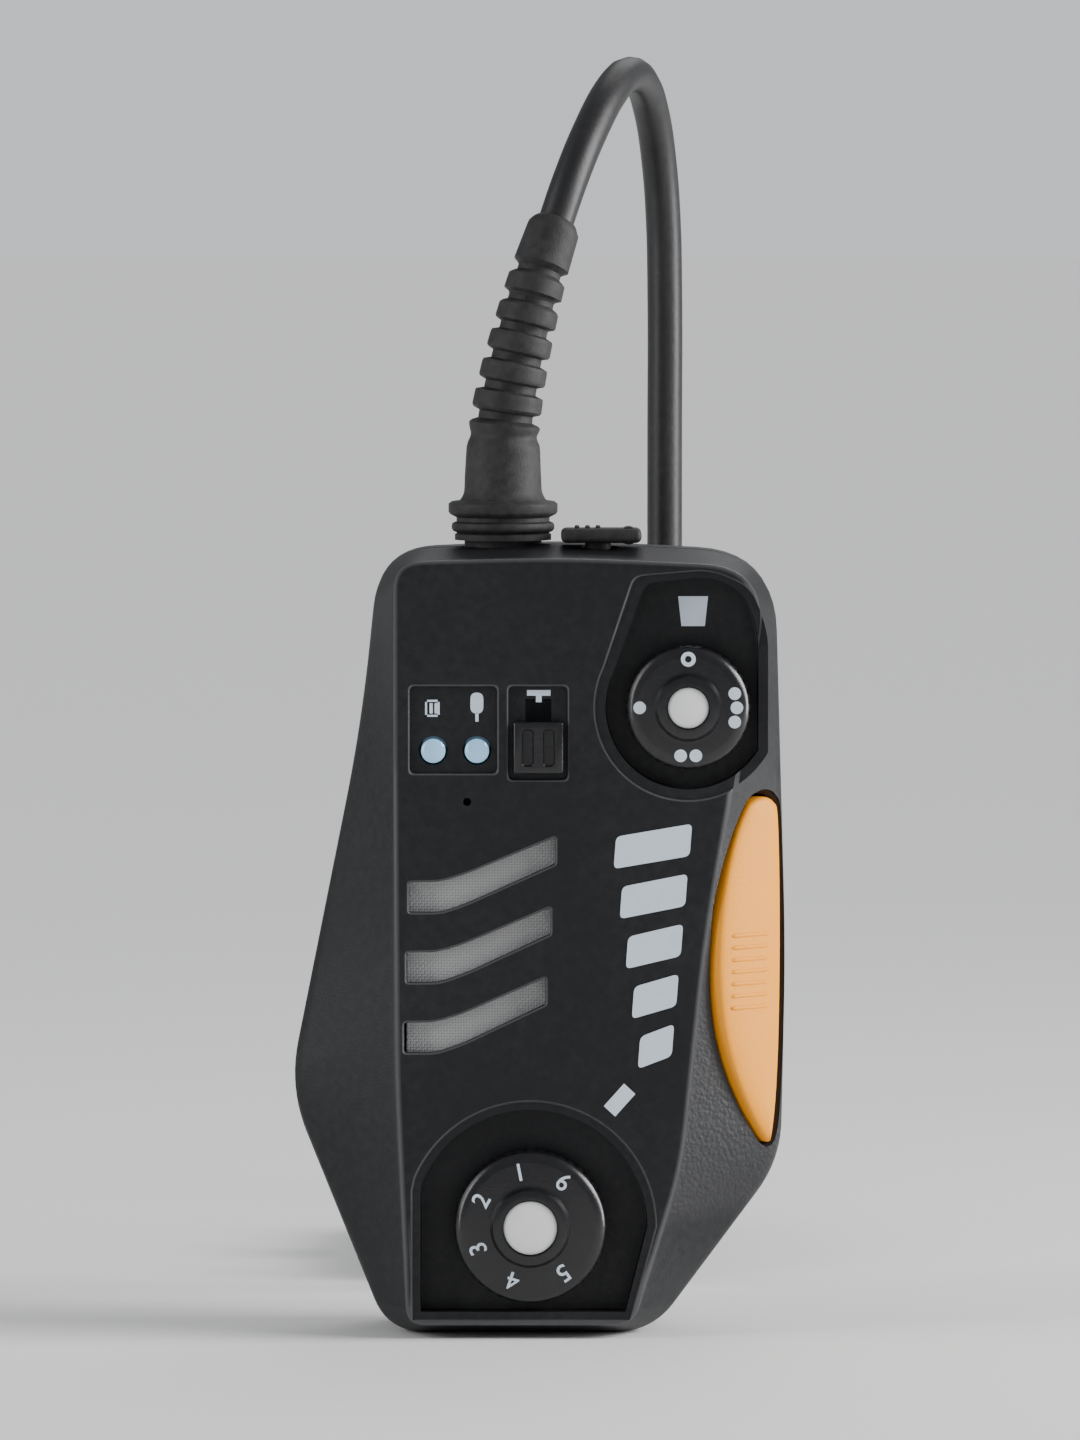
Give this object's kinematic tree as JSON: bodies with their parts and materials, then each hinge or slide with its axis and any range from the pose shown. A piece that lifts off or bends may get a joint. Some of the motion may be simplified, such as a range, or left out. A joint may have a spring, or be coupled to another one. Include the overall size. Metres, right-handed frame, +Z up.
{
  "type": "radio speaker microphone",
  "caption": "Strap-worn radio handset with talk key, volume and channel knobs, speaker slots, lock slider, belt clip and a tied cord with a jack plug.",
  "frame": {"origin": "middle of the handset's flat bottom, midway between its sides and between its front knobs and the back of its clip", "axes": "+Z up the handset's height, -Y out of its face, +X to the talk key's side"},
  "size_m": [0.061, 0.2045, 0.1586],
  "materials": {
    "black_plastic": "fine moulded texture, matt",
    "knob_black": "satin to glossy moulded plastic",
    "white_print": "smooth white plastic",
    "amber_plastic": "satin moulded plastic",
    "black_rubber": "matt soft rubber",
    "cable_jacket": "satin cable jacket",
    "grey_cloth": "woven acoustic cloth",
    "foam": "foam and coated paper",
    "clear_blue": "translucent polished plastic",
    "steel": "plated steel",
    "nickel": "nickel-plated brass",
    "board_green": "glass-fibre board with green solder mask",
    "part_grey": "moulded engineering plastic",
    "tie_fabric": "hook-and-loop tape"
  },
  "bodies": {
    "housing": {"board_chip": "knob_black", "board_screw_1": "steel", "board_screw_2": "steel", "cable": "cable_jacket", "cable_boot": "black_rubber", "cable_gland": "black_rubber", "cable_hank": "cable_jacket", "cable_tail": "cable_jacket", "case_screw_1": "steel", "case_screw_2": "steel", "case_screw_3": "steel", "case_screw_4": "steel", "channel_seal": "black_rubber", "channel_switch": "part_grey", "clip_base": "black_plastic", "clip_pin": "steel", "clip_screw_1": "steel", "clip_screw_2": "steel", "clip_spring": "steel", "earphone_jack": "part_grey", "front_cover": "black_plastic", "hank_tie": "tie_fabric", "housing_gasket": "black_rubber", "inner_lead": "cable_jacket", "lead_header": "white_print", "led_left": "white_print", "led_right": "white_print", "light_pipe_left": "clear_blue", "light_pipe_right": "clear_blue", "lock_switch": "part_grey", "main_board": "board_green", "microphone_boot": "black_rubber", "microphone_capsule": "nickel", "plug_body": "black_rubber", "plug_tip": "nickel", "rear_cover": "black_plastic", "speaker_cone": "foam", "speaker_frame": "part_grey", "speaker_gasket": "foam", "speaker_magnet": "steel", "speaker_mesh": "grey_cloth", "talk_key_seal": "black_rubber", "talk_switch": "part_grey", "volume_control": "part_grey", "volume_seal": "black_rubber"},
    "volume_knob": {"volume_knob": "knob_black", "volume_knob_cap": "white_print", "volume_shaft": "steel"},
    "channel_knob": {"channel_knob": "knob_black", "channel_knob_cap": "white_print", "channel_shaft": "steel"},
    "talk_key": {"talk_key": "amber_plastic"},
    "talk_plunger": {"talk_switch_plunger": "knob_black"},
    "lock_slider": {"lock_slider": "knob_black"},
    "port_cover": {"port_cover": "black_rubber"},
    "clip_arm": {"clip_arm": "black_plastic"},
    "plug_ring": {"plug_ring": "knob_black"}
  },
  "joints": [
    {"name": "volume_turn", "type": "hinge", "parent": "housing", "child": "volume_knob", "pos_m": [0.0183, -0.0126, 0.0784], "axis": [0, 1, 0], "range_deg": [0, 270]},
    {"name": "channel_turn", "type": "hinge", "parent": "housing", "child": "channel_knob", "pos_m": [-0.0012, -0.0126, 0.014], "axis": [0, 1, 0], "range_deg": [0, 250]},
    {"name": "talk_press", "type": "slide", "parent": "housing", "child": "talk_key", "axis": [-0.7071, 0.7071, 0], "range_m": [0, 0.001], "stiffness_N_per_m": 2000, "springref_m": -0.0005},
    {"name": "talk_plunger_travel", "type": "slide", "parent": "housing", "child": "talk_plunger", "axis": [-0.7071, 0.7071, 0], "range_m": [0, 0.00025]},
    {"name": "lock_slide", "type": "slide", "parent": "housing", "child": "lock_slider", "axis": [0, 0, 1], "range_m": [0, 0.003]},
    {"name": "port_cover_open", "type": "hinge", "parent": "housing", "child": "port_cover", "pos_m": [0.0118, -0.0078, 0.0992], "axis": [0, 1, 0], "range_deg": [0, 90], "stiffness_Nm_per_rad": 0.002},
    {"name": "clip_open", "type": "hinge", "parent": "housing", "child": "clip_arm", "pos_m": [0, 0.0149, 0.076], "axis": [1, 0, 0], "range_deg": [0, 20], "stiffness_Nm_per_rad": 0.5, "springref_deg": -17.19},
    {"name": "plug_ring_turn", "type": "hinge", "parent": "housing", "child": "plug_ring", "pos_m": [0.005, 0.1724, 0.00575], "axis": [0, 1, 0], "continuous": true}
  ],
  "couplings": [
    {"joint": "talk_plunger_travel", "follows": "talk_press", "ratio": 0.25}
  ]
}
